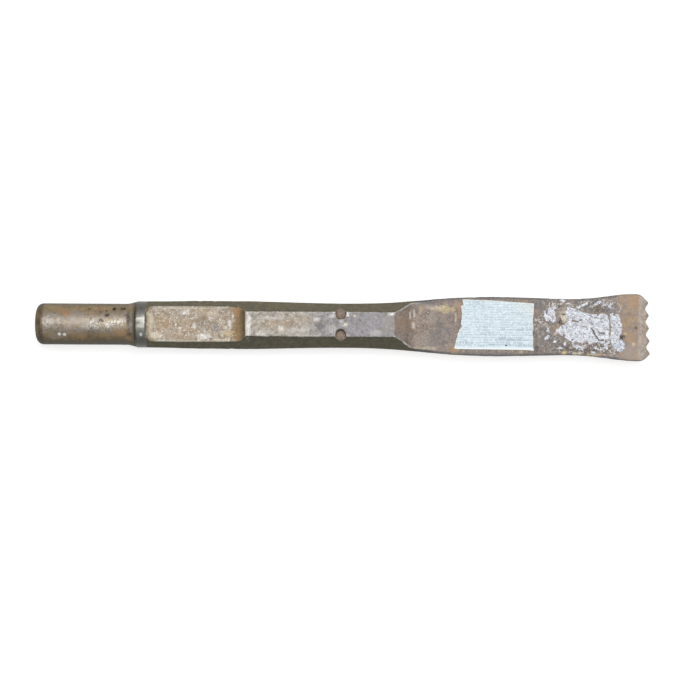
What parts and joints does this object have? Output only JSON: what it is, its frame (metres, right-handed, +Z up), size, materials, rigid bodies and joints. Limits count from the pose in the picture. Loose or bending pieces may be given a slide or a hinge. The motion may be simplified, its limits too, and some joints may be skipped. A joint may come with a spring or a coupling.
{
  "type": "toothed hammer chisel",
  "caption": "Round-shank power-hammer chisel with collar, notched hexagon body and flat toothed blade, with worn tape on the blade.",
  "frame": {"origin": "on the surface that the tool lies on, under the middle of its length and width", "axes": "+X along the tool from the shank to the teeth, +Y across the blade, +Z up out of the notched flat"},
  "size_m": [0.32, 0.035, 0.0242],
  "materials": {
    "worn_steel": "brown oxidised forged steel, rubbed bright on the collar and the edges",
    "white_tape": "ribbed white cloth tape, matt",
    "label_remains": "crazed whitish paper and glue"
  },
  "bodies": {
    "root": {"chisel_forging": "worn_steel", "tape_strip": "white_tape", "old_label": "label_remains", "label_scraps": "label_remains"}
  },
  "joints": []
}
